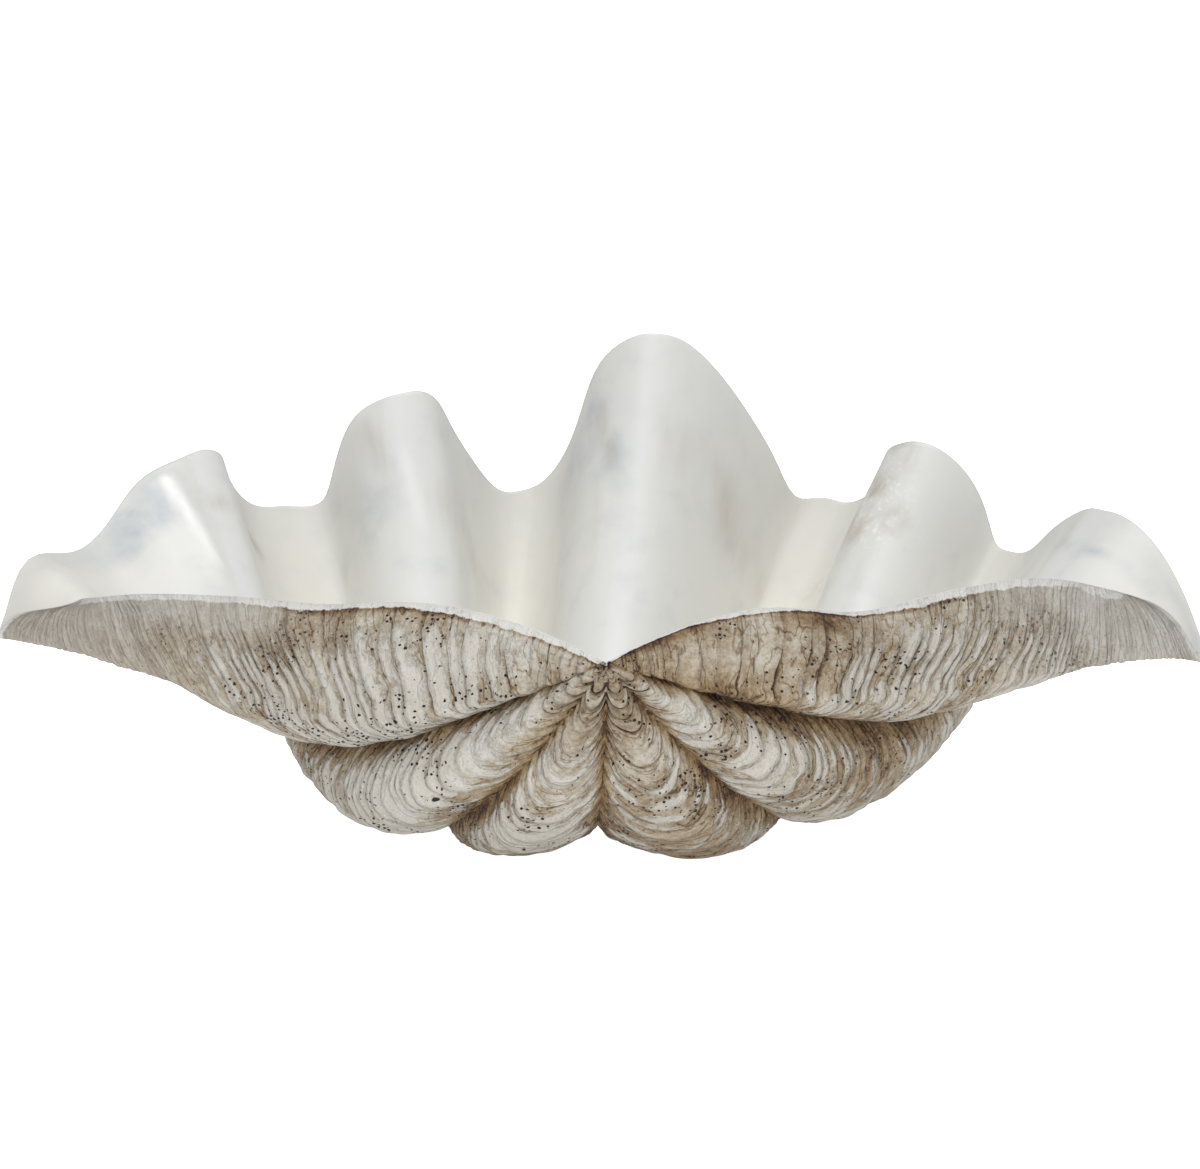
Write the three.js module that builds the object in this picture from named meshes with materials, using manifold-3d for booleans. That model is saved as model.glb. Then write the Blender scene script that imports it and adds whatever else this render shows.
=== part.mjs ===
import * as THREE from "three";
import { mergeVertices } from "three/addons/utils/BufferGeometryUtils.js";
import Module from "manifold-3d";

// One valve of a giant clam: a fluted bowl that lies on its ribs, hollow up, with its hinge towards -Y.
// Millimetres, +Z up.

// The valve is drawn as a boat's hull is, from rays. Every ray starts at the umbo, where growth began, and
// is one curve with four handles: at the beak, the belly and the flank, and on the margin, where it ends.
const UMBO = [3, -176, 126];

// Two rays are the hinge edges, first and last, and five follow the grooves between the ribs.
const GROOVES = [
  {
    name: "left hinge edge",
    handles: [[-65, -158, 160], [-137, -132, 163], [-210, -95, 138], [-283, -75, 136]],
  },
  {
    name: "far left groove",
    handles: [[-70, -190, 103], [-167, -128, 36], [-174, -40, 54], [-231, 95, 187]],
  },
  {
    name: "left groove",
    handles: [[-33, -232, 76], [-127, -125, -18], [-67, 38, -18], [-115, 150, 214]],
  },
  {
    name: "middle groove",
    handles: [[4, -240, 69], [-8, -116, -30], [-6, 65, -22], [35, 165, 247]],
  },
  {
    name: "right groove",
    handles: [[46, -228, 80], [142, -122, -12], [76, 35, -12], [187, 140, 187]],
  },
  {
    name: "far right groove",
    handles: [[83, -194, 110], [172, -135, 64], [204, -40, 72], [279, 45, 160]],
  },
  {
    name: "right hinge edge",
    handles: [[68, -158, 158], [140, -132, 165], [213, -95, 140], [280, -82, 134]],
  },
];

// Six rays follow the crests of the ribs, one between each two of those above.
const CRESTS = [
  {
    name: "left end rib",
    handles: [[-100, -212, 100], [-172, -150, 85], [-258, -90, 114], [-316, -40, 118]],
  },
  {
    name: "left outer rib",
    handles: [[-80, -240, 75], [-166, -110, -26], [-124, 50, -12], [-190, 150, 147]],
  },
  {
    name: "left inner rib",
    handles: [[-33, -250, 42], [-72, -82, -50], [-56, 132, -40], [-47, 200, 149]],
  },
  {
    name: "right inner rib",
    handles: [[38, -250, 42], [68, -85, -49], [50, 128, -38], [138, 200, 144]],
  },
  {
    name: "right outer rib",
    handles: [[98, -235, 80], [153, -112, -2], [157, 45, -9], [240, 125, 124]],
  },
  {
    name: "right end rib",
    handles: [[98, -213, 107], [182, -157, 101], [283, -80, 121], [316, -48, 108]],
  },
];
const FOLDS = CRESTS.length;

// Small swellings of the margin: the fold they are at, their half width in folds, and their push.
const SWELLINGS = [
  { fold: 0.22, width: 0.14, push: [0, 0, 9] },
  { fold: 0.50, width: 0.12, push: [0, 0, -6] },
  { fold: 0.60, width: 0.07, push: [-3, 0, 22] },
  { fold: 0.83, width: 0.08, push: [-6, 0, 5] },
  { fold: 1.12, width: 0.08, push: [3, 0, -2] },
  { fold: 1.65, width: 0.08, push: [6, 0, -6] },
  { fold: 1.83, width: 0.08, push: [-3, 0, 4] },
  { fold: 2.22, width: 0.08, push: [-3, 0, 0] },
  { fold: 2.80, width: 0.09, push: [-5, 0, 6] },
  { fold: 3.22, width: 0.10, push: [1, 0, 3] },
  { fold: 3.39, width: 0.06, push: [-3, 0, -9] },
  { fold: 3.72, width: 0.10, push: [7, 0, -3] },
  { fold: 3.90, width: 0.08, push: [2, 0, -4] },
  { fold: 4.22, width: 0.12, push: [4, 0, 1] },
  { fold: 4.72, width: 0.12, push: [-4, 0, 4] },
  { fold: 5.25, width: 0.18, push: [7, -8, 13] },
  { fold: 5.50, width: 0.14, push: [2, 0, -11] },
  { fold: 5.82, width: 0.18, push: [0, 0, 11] },
];
const SWELLING_STARTS = 0.55;

// The two hinge edges dip and rise along their length: the place along the edge, half width and rise.
const EDGE_WAVES = [
  { fold: 0, place: 0.50, width: 0.14, rise: -6 },
  { fold: 0, place: 0.85, width: 0.12, rise: 3 },
  { fold: FOLDS, place: 0.46, width: 0.13, rise: -10 },
  { fold: FOLDS, place: 0.82, width: 0.16, rise: 9 },
];
const EDGE_REACH = 0.5;

// On the outside the ribs meet in sharp grooves. Towards the margin the folds turn into an even wave.
const GROOVE_ANGLE = THREE.MathUtils.degToRad(38);
const EVEN_WAVE = { from: 0.45, to: 0.9 };

// Inside, the folds are shallow near the umbo, where the wall is thick, and full at the margin.
const INNER_WAVE = { from: 0.3, to: 0.75 };
const INNER_FOLDS = { atUmbo: 0.3, atMargin: 1, from: 0.15, to: 0.6 };
const WALL = { atUmbo: 16, atBelly: 11, atMargin: 6 };
const INWARD_AT_UMBO = [0, 0.75, -0.66];

// Growth lines arch away from the umbo on each rib, point back at it in the grooves, and run on ahead
// along the two hinge edges. The margin cuts the corners off where it meets those edges.
const SWEEP = 0.07;
const HINGE_LEAD = 0.14;
const LEAD_LATENESS = 1.6;
const CORNER = { width: 0.22, from: 0.6, cut: 0.05 };

// Each ledge ends in a raised lip with a step behind it.
const LEDGES = 31;
const LEDGE_RISE = 1.9;
const STEP_SHARE = 0.22;
const SMOOTH_END = { from: 0.94, to: 1 };

// How finely the faces are laid: columns across each fold, and rows on the inside.
const COLUMNS_PER_FOLD = 10;
const INNER_ROWS = 12;
const FIRST_ROW = 0.012;

// The ribs are worn flat where they rest: the floor cuts this much above the drawing's own zero.
// The origin is on the floor under the middle of the shell.
const FLOOR = 1;
const MIDDLE = [-0.4, 2.9];
const FLOOR_BLOCK = { width: 400, thickness: 60 };

const { smoothstep, lerp } = THREE.MathUtils;
const vector = (xyz) => new THREE.Vector3(...xyz);

// a smooth curve through values at 0, 1, 2 and so on, carried on straight at both ends
function through(values, place) {
  const last = values.length - 1;
  const index = Math.min(Math.max(Math.floor(place), 0), last - 1);
  const t = place - index;
  const at = (i) => {
    if (i < 0) return values[0].clone().multiplyScalar(2).sub(values[1]);
    if (i > last) return values[last].clone().multiplyScalar(2).sub(values[last - 1]);
    return values[i];
  };
  const [before, start, end, after] = [at(index - 1), at(index), at(index + 1), at(index + 2)];
  return new THREE.Vector3()
    .addScaledVector(before, (-t + 2 * t ** 2 - t ** 3) / 2)
    .addScaledVector(start, (2 - 5 * t ** 2 + 3 * t ** 3) / 2)
    .addScaledVector(end, (t + 4 * t ** 2 - 3 * t ** 3) / 2)
    .addScaledVector(after, (t ** 3 - t ** 2) / 2);
}

// the point at t on the curve that leaves start and is drawn by four handles
function along(start, handles, t) {
  const s = 1 - t;
  return start.clone().multiplyScalar(s ** 4)
    .addScaledVector(handles[0], 4 * s ** 3 * t)
    .addScaledVector(handles[1], 6 * s ** 2 * t ** 2)
    .addScaledVector(handles[2], 4 * s * t ** 3)
    .addScaledVector(handles[3], t ** 4);
}

// handle by handle: the groove rays, and how far each crest stands out from the surface through them
const HANDLES = [0, 1, 2, 3];
const grooveHandles = HANDLES.map((i) => GROOVES.map((ray) => vector(ray.handles[i])));
const reliefHandles = HANDLES.map((i) => CRESTS.map(
  (ray, fold) => vector(ray.handles[i]).sub(through(grooveHandles[i], fold + 0.5))));

// 0 in a groove or on a hinge edge, 1 on a rib's crest
const ribHeight = (fold) => 1 - Math.abs(2 * (fold - Math.floor(fold)) - 1);

const onEndFlank = (fold) => fold < 0.5 || fold > FOLDS - 0.5;

function sharpWave(fold) {
  const reach = Math.cos(GROOVE_ANGLE) * (1 - ribHeight(fold));
  const drop = Math.sin(GROOVE_ANGLE);
  return (Math.sqrt(1 - reach ** 2) - drop) / (1 - drop);
}

function evenWave(fold) {
  const height = ribHeight(fold);
  if (onEndFlank(fold)) return Math.sin(Math.PI / 2 * height);
  return height ** 3 * (height * (6 * height - 15) + 10);
}

const bell = (distance, width) => Math.exp(-((distance / width) ** 2));

// the shell's surface: fold runs from 0 at the left hinge edge to 6 at the right, t from umbo to margin
function surface(fold, t, evenness, depth = 1) {
  const base = along(vector(UMBO), grooveHandles.map((row) => through(row, fold)), t);
  const crestPlace = Math.min(Math.max(fold - 0.5, 0), FOLDS - 1);
  const relief = along(new THREE.Vector3(), reliefHandles.map((row) => through(row, crestPlace)), t);
  const wave = lerp(sharpWave(fold), evenWave(fold), evenness);
  const point = base.addScaledVector(relief, wave * depth);
  for (const swelling of SWELLINGS) {
    const share = bell(fold - swelling.fold, swelling.width) * smoothstep(t, SWELLING_STARTS, 1);
    point.addScaledVector(vector(swelling.push), share);
  }
  for (const edge of EDGE_WAVES) {
    const nearness = 1 - smoothstep(Math.abs(fold - edge.fold), 0, EDGE_REACH);
    point.z += edge.rise * bell(t - edge.place, edge.width) * nearness;
  }
  return point;
}

const outerSurface = (fold, t) => surface(fold, t, smoothstep(t, EVEN_WAVE.from, EVEN_WAVE.to));

function innerGuide(fold, t) {
  const share = smoothstep(t, INNER_FOLDS.from, INNER_FOLDS.to);
  const depth = lerp(INNER_FOLDS.atUmbo, INNER_FOLDS.atMargin, share);
  return surface(fold, t, smoothstep(t, INNER_WAVE.from, INNER_WAVE.to), depth);
}

// the direction out of the shell's wall, from small steps along and across the rays
function outward(guide, fold, t) {
  const step = 0.004;
  const across = guide(Math.min(fold + step, FOLDS), t).sub(guide(Math.max(fold - step, 0), t));
  const down = guide(fold, Math.min(t + step, 1)).sub(guide(fold, Math.max(t - step, 0)));
  return down.cross(across).normalize();
}

// the place along its ray of the growth line g, which is a share of the way from umbo to margin
function onGrowthLine(fold, g) {
  const belowCrest = 1 - ribHeight(fold);
  const arch = Math.sin(Math.PI * g) * SWEEP;
  if (!onEndFlank(fold)) return g + arch * (0.4 - belowCrest ** 2);
  const lead = Math.sin(Math.PI * g ** LEAD_LATENESS) * HINGE_LEAD * belowCrest ** 1.5;
  const fromHinge = Math.min(fold, FOLDS - fold);
  const corner = bell(fromHinge, CORNER.width) * smoothstep(g, CORNER.from, 1);
  return g + arch * 0.4 + lead - CORNER.cut * corner;
}

// no two ledges are alike: some lips stand out more, and each fades and returns along its length
function lipRise(fold, ledge) {
  const uneven = 1 + 0.3 * Math.sin(2.4 * ledge) + 0.25 * Math.sin(5.1 * fold + 1.7 * ledge);
  return LEDGE_RISE * uneven;
}

function outerPoint(fold, g, rise) {
  const t = onGrowthLine(fold, g);
  const plain = 1 - smoothstep(g, SMOOTH_END.from, SMOOTH_END.to);
  return outerSurface(fold, t).addScaledVector(outward(outerSurface, fold, t), rise * plain);
}

function innerPoint(fold, g) {
  const t = onGrowthLine(fold, g);
  const nearUmbo = 1 - smoothstep(t, 0, 0.25);
  const towardsMargin = smoothstep(t, 0.4, 1);
  const wall = lerp(lerp(WALL.atBelly, WALL.atMargin, towardsMargin), WALL.atUmbo, nearUmbo);
  const inward = outward(innerGuide, fold, t).negate().lerp(vector(INWARD_AT_UMBO), nearUmbo).normalize();
  return innerGuide(fold, t).addScaledVector(inward, wall);
}

const columns = Array.from({ length: FOLDS * COLUMNS_PER_FOLD + 1 }, (_, i) => i / COLUMNS_PER_FOLD);

function outerRows() {
  const rows = [];
  for (let ledge = 0; ledge < LEDGES; ledge += 1) {
    const foot = Math.max((ledge + STEP_SHARE) / LEDGES, FIRST_ROW);
    const lip = (ledge + 1) / LEDGES;
    rows.push(columns.map((fold) => outerPoint(fold, foot, 0)));
    rows.push(columns.map((fold) => outerPoint(fold, lip, lipRise(fold, ledge))));
  }
  return rows;
}

function innerRows() {
  const rows = [];
  for (let row = 1; row <= INNER_ROWS; row += 1) {
    rows.push(columns.map((fold) => innerPoint(fold, row / INNER_ROWS)));
  }
  return rows;
}

// collects triangles as loose corners
function makeFaces() {
  const corners = [];
  const triangle = (a, b, c) => corners.push(a, b, c);
  const grid = (rows) => {
    for (let r = 0; r < rows.length - 1; r += 1) {
      for (let c = 0; c < rows[r].length - 1; c += 1) {
        triangle(rows[r][c], rows[r + 1][c], rows[r][c + 1]);
        triangle(rows[r][c + 1], rows[r + 1][c], rows[r + 1][c + 1]);
      }
    }
  };
  const fan = (centre, row) => {
    for (let c = 0; c < row.length - 1; c += 1) triangle(centre, row[c], row[c + 1]);
  };
  // joins two lines of points that may differ in number, always taking the line that lags
  const stitch = (left, right) => {
    let i = 0;
    let j = 0;
    while (i < left.length - 1 || j < right.length - 1) {
      const leftNext = (i + 1) / (left.length - 1);
      const rightNext = (j + 1) / (right.length - 1);
      if (j === right.length - 1 || (i < left.length - 1 && leftNext <= rightNext)) {
        triangle(left[i], left[i + 1], right[j]);
        i += 1;
      } else {
        triangle(left[i], right[j + 1], right[j]);
        j += 1;
      }
    }
  };
  return { corners, grid, fan, stitch };
}

function shellGeometry() {
  const faces = makeFaces();
  const outside = outerRows();
  const inside = innerRows();
  const outerUmbo = vector(UMBO);
  const innerUmbo = innerPoint(FOLDS / 2, 0);
  const mirrored = inside.map((row) => [...row].reverse());

  faces.fan(outerUmbo, outside[0]);
  faces.grid(outside);
  faces.fan(innerUmbo, mirrored[0]);
  faces.grid(mirrored);
  // the lip along the margin, then the two hinge edges
  faces.stitch(inside.at(-1), outside.at(-1));
  const edge = (pole, rows, column) => [pole, ...rows.map((row) => row.at(column))];
  faces.stitch(edge(innerUmbo, inside, 0), edge(outerUmbo, outside, 0));
  faces.stitch(edge(outerUmbo, outside, -1), edge(innerUmbo, inside, -1));

  const places = faces.corners.flatMap((point) => point.toArray());
  const geometry = new THREE.BufferGeometry();
  geometry.setAttribute("position", new THREE.Float32BufferAttribute(places, 3));
  return geometry;
}

const wasm = await Module();
wasm.setup();

function solid(geometry) {
  const plain = geometry.clone();
  plain.deleteAttribute("normal");
  plain.deleteAttribute("uv");
  const merged = mergeVertices(plain);
  return new wasm.Manifold(new wasm.Mesh({
    numProp: 3,
    vertProperties: new Float32Array(merged.attributes.position.array),
    triVerts: new Uint32Array(merged.index.array),
  }));
}

function geometryOf(manifold) {
  const mesh = manifold.getMesh();
  const geometry = new THREE.BufferGeometry();
  geometry.setAttribute("position", new THREE.BufferAttribute(mesh.vertProperties, mesh.numProp));
  geometry.setIndex(new THREE.BufferAttribute(mesh.triVerts, 1));
  geometry.computeVertexNormals();
  return geometry;
}

// the valve stands on the flats that the floor cuts on its two inner ribs
function clamShell() {
  const block = new THREE.BoxGeometry(FLOOR_BLOCK.width, FLOOR_BLOCK.width, FLOOR_BLOCK.thickness);
  block.translate(0, 0, FLOOR - FLOOR_BLOCK.thickness / 2);
  const rested = geometryOf(solid(shellGeometry()).subtract(solid(block)));
  rested.translate(-MIDDLE[0], -MIDDLE[1], -FLOOR);
  const mesh = new THREE.Mesh(rested, new THREE.MeshStandardMaterial({
    color: 0xcfc8bc,
    roughness: 0.65,
    metalness: 0,
  }));
  mesh.name = "clam_shell";
  return mesh;
}

const shell = new THREE.Group();
shell.add(clamShell());

export default shell;
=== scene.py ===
import math

import bpy
import numpy as np
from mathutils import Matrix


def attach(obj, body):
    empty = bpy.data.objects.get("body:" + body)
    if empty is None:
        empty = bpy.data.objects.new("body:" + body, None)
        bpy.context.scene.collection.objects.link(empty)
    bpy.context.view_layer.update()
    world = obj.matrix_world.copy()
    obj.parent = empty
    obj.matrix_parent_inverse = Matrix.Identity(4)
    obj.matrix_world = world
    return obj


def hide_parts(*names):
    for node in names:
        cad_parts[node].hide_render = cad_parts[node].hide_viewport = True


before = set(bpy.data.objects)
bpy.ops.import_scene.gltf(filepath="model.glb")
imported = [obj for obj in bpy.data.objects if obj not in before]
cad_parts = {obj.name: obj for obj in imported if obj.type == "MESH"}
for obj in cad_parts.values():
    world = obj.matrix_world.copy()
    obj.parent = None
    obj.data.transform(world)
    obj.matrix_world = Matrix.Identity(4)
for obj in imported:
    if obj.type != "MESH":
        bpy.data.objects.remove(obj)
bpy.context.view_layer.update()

# The valve's form: a fluted bowl of aragonite, which the clam laid down outwards from the umbo at its
# hinge. It is drawn with rays, in millimetres. Every ray starts at the umbo and is one curve with four
# handles: at the beak, the belly and the flank, and on the margin, where it ends.
UMBO = np.array([3, -176, 126])
# from the left hinge edge through the five grooves between the ribs to the right hinge edge
GROOVES = np.array([
    [[-65, -158, 160], [-137, -132, 163], [-210, -95, 138], [-283, -75, 136]],
    [[-70, -190, 103], [-167, -128, 36], [-174, -40, 54], [-231, 95, 187]],
    [[-33, -232, 76], [-127, -125, -18], [-67, 38, -18], [-115, 150, 214]],
    [[4, -240, 69], [-8, -116, -30], [-6, 65, -22], [35, 165, 247]],
    [[46, -228, 80], [142, -122, -12], [76, 35, -12], [187, 140, 187]],
    [[83, -194, 110], [172, -135, 64], [204, -40, 72], [279, 45, 160]],
    [[68, -158, 158], [140, -132, 165], [213, -95, 140], [280, -82, 134]],
])
# the crests of the six ribs, one between each two rays above
CRESTS = np.array([
    [[-100, -212, 100], [-172, -150, 85], [-258, -90, 114], [-316, -40, 118]],
    [[-80, -240, 75], [-166, -110, -26], [-124, 50, -12], [-190, 150, 147]],
    [[-33, -250, 42], [-72, -82, -50], [-56, 132, -40], [-47, 200, 149]],
    [[38, -250, 42], [68, -85, -49], [50, 128, -38], [138, 200, 144]],
    [[98, -235, 80], [153, -112, -2], [157, 45, -9], [240, 125, 124]],
    [[98, -213, 107], [182, -157, 101], [283, -80, 121], [316, -48, 108]],
])
FOLDS = len(CRESTS)
# swellings of the margin: the fold they are at, their half width in folds, and their push
SWELLINGS = [
    (0.22, 0.14, (0, 0, 9)),
    (0.50, 0.12, (0, 0, -6)),
    (0.60, 0.07, (-3, 0, 22)),
    (0.83, 0.08, (-6, 0, 5)),
    (1.12, 0.08, (3, 0, -2)),
    (1.65, 0.08, (6, 0, -6)),
    (1.83, 0.08, (-3, 0, 4)),
    (2.22, 0.08, (-3, 0, 0)),
    (2.80, 0.09, (-5, 0, 6)),
    (3.22, 0.10, (1, 0, 3)),
    (3.39, 0.06, (-3, 0, -9)),
    (3.72, 0.10, (7, 0, -3)),
    (3.90, 0.08, (2, 0, -4)),
    (4.22, 0.12, (4, 0, 1)),
    (4.72, 0.12, (-4, 0, 4)),
    (5.25, 0.18, (7, -8, 13)),
    (5.50, 0.14, (2, 0, -11)),
    (5.82, 0.18, (0, 0, 11)),
]
# dips and rises of the hinge edges: the fold, the place along the edge, half width, and rise
EDGE_WAVES = [
    (0, 0.50, 0.14, -6),
    (0, 0.85, 0.12, 3),
    (FOLDS, 0.46, 0.13, -10),
    (FOLDS, 0.82, 0.16, 9),
]
# the swellings fade in from this place along the rays
SWELLS_FROM = 0.55
# how steeply the ribs of the belly meet in a groove
GROOVE_ANGLE = math.radians(38)
# where along the rays the sharp wave of the belly turns into the even one of the margin
OUTSIDE_EVENS_OUT = (0.45, 0.90)
INSIDE_EVENS_OUT = (0.30, 0.75)
# the inside's folds have this share of their depth at the umbo, and gain the rest between two places
DEPTH_AT_UMBO = 0.3
FOLDS_DEEPEN = (0.15, 0.60)
# from the drawing's zero to the shell as it rests, with the origin on the floor under its middle
RESTED = np.array([0.4, -2.9, -1])
MILLIMETRE = 0.001


def smooth(value, start=0, end=1):
    """Goes evenly from 0 at start to 1 at end."""
    share = np.clip((value - start) / (end - start), 0, 1)
    return share * share * (3 - 2 * share)


def spread(values):
    """Lets one number for each point work on its three coordinates."""
    return np.asarray(values)[..., None]


def through(values, place):
    """A smooth curve through values at 0, 1, 2 and so on, carried on straight at both ends."""
    values = np.concatenate([[2 * values[0] - values[1]], values, [2 * values[-1] - values[-2]]])
    index = np.clip(np.floor(place).astype(int), 0, len(values) - 4)
    share = (place - index).reshape(place.shape + (1,) * (values.ndim - 1))
    before, start, end, after = (values[index + step] for step in range(4))
    bend = 2 * before - 5 * start + 4 * end - after
    twist = 3 * start - before - 3 * end + after
    return start + 0.5 * ((end - before) * share + bend * share**2 + twist * share**3)


def along(start, handles, share):
    """The point at share of the way along the curve that leaves start and is drawn by four handles."""
    share = spread(share)
    rest = 1 - share
    weights = (4 * rest**3 * share, 6 * rest**2 * share**2, 4 * rest * share**3, share**4)
    return rest**4 * start + sum(weight * handles[..., i, :] for i, weight in enumerate(weights))


def rib_height(fold):
    """0 in a groove or on a hinge edge, 1 on a rib's crest."""
    return 1 - np.abs(2 * (fold - np.floor(fold)) - 1)


def on_end_flank(fold):
    """Whether a point is between a hinge edge and the crest next to it."""
    return (fold < 0.5) | (fold > FOLDS - 0.5)


def sharp_wave(fold):
    """Round ribs that meet in sharp grooves, as on the belly."""
    drop = math.sin(GROOVE_ANGLE)
    reach = math.cos(GROOVE_ANGLE) * (1 - rib_height(fold))
    return (np.sqrt(1 - reach**2) - drop) / (1 - drop)


def even_wave(fold):
    """An even wave, as at the margin."""
    height = rib_height(fold)
    level_at_both_ends = height**3 * (height * (6 * height - 15) + 10)
    return np.where(on_end_flank(fold), np.sin(np.pi / 2 * height), level_at_both_ends)


def surface(fold, place, evenness, depth=1.0):
    """Fold runs from 0 at the left hinge edge to 6 at the right, and place from 0 at the umbo to 1."""
    crests_stand_out = CRESTS - through(GROOVES, np.arange(FOLDS) + 0.5)
    base = along(UMBO, through(GROOVES, fold), place)
    relief = along(0 * UMBO, through(crests_stand_out, np.clip(fold - 0.5, 0, FOLDS - 1)), place)
    wave = (1 - evenness) * sharp_wave(fold) + evenness * even_wave(fold)
    points = base + relief * spread(wave * depth)
    for at, width, push in SWELLINGS:
        share = np.exp(-(((fold - at) / width) ** 2)) * smooth(place, SWELLS_FROM)
        points = points + spread(share) * push
    for at, middle, width, rise in EDGE_WAVES:
        share = np.exp(-(((place - middle) / width) ** 2)) * (1 - smooth(np.abs(fold - at), 0, 0.5))
        points = points + spread(share) * (0, 0, rise)
    return points


def outer_surface(fold, place):
    """The outside, without its ledges."""
    return surface(fold, place, smooth(place, *OUTSIDE_EVENS_OUT))


def inner_guide(fold, place):
    """The surface that the wall is measured from: its folds are shallow at the umbo, full at the margin."""
    depth = DEPTH_AT_UMBO + (1 - DEPTH_AT_UMBO) * smooth(place, *FOLDS_DEEPEN)
    return surface(fold, place, smooth(place, *INSIDE_EVENS_OUT), depth)


def unit(vectors):
    """Vectors of length 1 with the same directions."""
    return vectors / np.linalg.norm(vectors, axis=-1, keepdims=True)


# a step that is small beside a fold and beside a ray, for finding directions
SMALL_STEP = 0.004


def outward(guide, fold, place):
    """The direction out of the wall, from small steps across and along the rays."""
    right, left = np.minimum(fold + SMALL_STEP, FOLDS), np.maximum(fold - SMALL_STEP, 0)
    after, before = np.minimum(place + SMALL_STEP, 1), np.maximum(place - SMALL_STEP, 0)
    across = guide(right, place) - guide(left, place)
    down = guide(fold, after) - guide(fold, before)
    return unit(np.cross(down, across))


# The outside: growth ledges of aragonite, each the margin of an earlier year, which arch away from the umbo
# on every rib and point back at it in the grooves. Their lips are worn and broken, so no two are alike.
# Along the crests 62 of them are 8 to 9 mm apart on average, and each is 0.5 to 1.5 times as wide as that.
LEDGES = 62
WIDTH_SHARES = (0.5, 1.5)
# a ledge's height in millimetres, and its lip's overhang as a share of that
LEDGE_RISE = 2.0
LIP_REACH = 0.7
# as shares of a ray: how far the grooves lag behind the crests, and how far the hinge edges lead
SWEEP = 0.07
HINGE_LEAD = 0.22
# above 1, the lead is greatest beyond the middle of the ray
LEAD_LATENESS = 1.25
# the margin cuts the corners off where it meets the hinge edges: half width in folds, share of the ray
CORNER_WIDTH = 0.22
CORNER_CUT = 0.05
# steps from point to point between the two hinge edges
COLUMNS = 320
# the rows of points on a ledge: share of its width, of its rise and of its lip's reach, and how chalky
LEDGE_ROWS = [
    (0.12, -0.5, 0.0, 0.0),
    (0.45, -0.1, 0.0, 0.6),
    (0.80, 0.4, 0.2, 1.0),
    (1.00, 0.5, 1.0, 1.0),
]
random = np.random.default_rng(12)
# a block of random values, which repeats for ever
GRAIN_CELLS = 32
grain = random.uniform(-1, 1, (GRAIN_CELLS,) * 3)


def rough(points, size):
    """Smooth random values from -1 to 1 that change over about size millimetres."""
    places = points / size
    cells = np.floor(places).astype(int)
    shares = smooth(places - cells)
    total = np.zeros(points.shape[:-1])
    for corner in np.ndindex(2, 2, 2):
        weight = np.prod(np.where(corner, shares, 1 - shares), axis=-1)
        x, y, z = np.moveaxis((cells + corner) % GRAIN_CELLS, -1, 0)
        total += weight * grain[x, y, z]
    return total


def on_growth_line(fold, growth):
    """The place along its ray of the growth line that is this share of the way from umbo to margin."""
    below_crest = 1 - rib_height(fold)
    arch = np.sin(np.pi * growth) * SWEEP
    lead = np.sin(np.pi * growth**LEAD_LATENESS) * HINGE_LEAD * below_crest**1.5
    corner = np.exp(-((np.minimum(fold, FOLDS - fold) / CORNER_WIDTH) ** 2)) * smooth(growth, 0.6)
    shift = np.where(on_end_flank(fold), lead - CORNER_CUT * corner, -arch * below_crest**2)
    return growth + 0.4 * arch + shift


def marks(fold, growth, strokes, stretch):
    """Adds up soft strokes. Each goes from one fold and growth to another, and has a half width in folds
    and a strength. The whole growth from 0 to 1 counts as this many folds: stretch."""
    here = np.stack([fold, growth * stretch], axis=-1)
    total = np.zeros(fold.shape)
    for start, end, half_width, strength in strokes:
        start, end = (np.multiply(place, (1, stretch)) for place in (start, end))
        run = end - start
        share = np.clip((here - start) @ run / (run @ run), 0, 1)
        distance = np.linalg.norm(here - start - spread(share) * run, axis=-1)
        total += strength * np.exp(-((distance / half_width) ** 2))
    return total


# the ledges follow one another at about the same distance along the middle crest
fine_steps = np.linspace(0, 1, 401)
crest_line = outer_surface(np.full_like(fine_steps, 2.5), fine_steps)
travelled = np.concatenate([[0], np.cumsum(np.linalg.norm(np.diff(crest_line, axis=0), axis=1))])
widths = random.uniform(*WIDTH_SHARES, LEDGES)
ledge_ends = np.concatenate([[0], np.cumsum(widths)]) / widths.sum()
ledge_ends = np.interp(ledge_ends * travelled[-1], travelled, fine_steps)
ledge_number = np.repeat(np.arange(LEDGES), len(LEDGE_ROWS))
row_share, row_rise, row_reach, row_chalk = np.tile(LEDGE_ROWS, (LEDGES, 1)).T[:, :, None]
row_growth = ledge_ends[ledge_number] + row_share[:, 0] * np.diff(ledge_ends)[ledge_number]

# the ledges waver along their length: by what share of a ray, and over how many millimetres
WAVERING = [(0.006, 30), (0.003, 9)]
columns = np.linspace(0, FOLDS, COLUMNS + 1)
fold, growth = np.meshgrid(columns, row_growth)
place = on_growth_line(fold, growth)
plain = outer_surface(fold, place)
not_at_ends = smooth(growth, 0, 0.06) * (1 - smooth(growth, 0.9, 1))
place = place + not_at_ends * sum(share * rough(plain, size) for share, size in WAVERING)
plain = outer_surface(fold, place)
facing = outward(outer_surface, fold, place)
next_on_ray = outer_surface(fold, np.minimum(place + SMALL_STEP, 1))
forward = unit(next_on_ray - outer_surface(fold, place - SMALL_STEP))

# strokes on the outside: from and to (fold, growth), half width and strength
FOLDS_PER_GROWTH_OUTSIDE = 2.6
# the relief is half rubbed off under the hinge edges, close to the umbo
RUBBED = [
    ((0, 0.23), (0, 0.47), 0.20, 0.9),
    ((FOLDS, 0.04), (FOLDS, 0.27), 0.24, 1.0),
]
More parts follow.
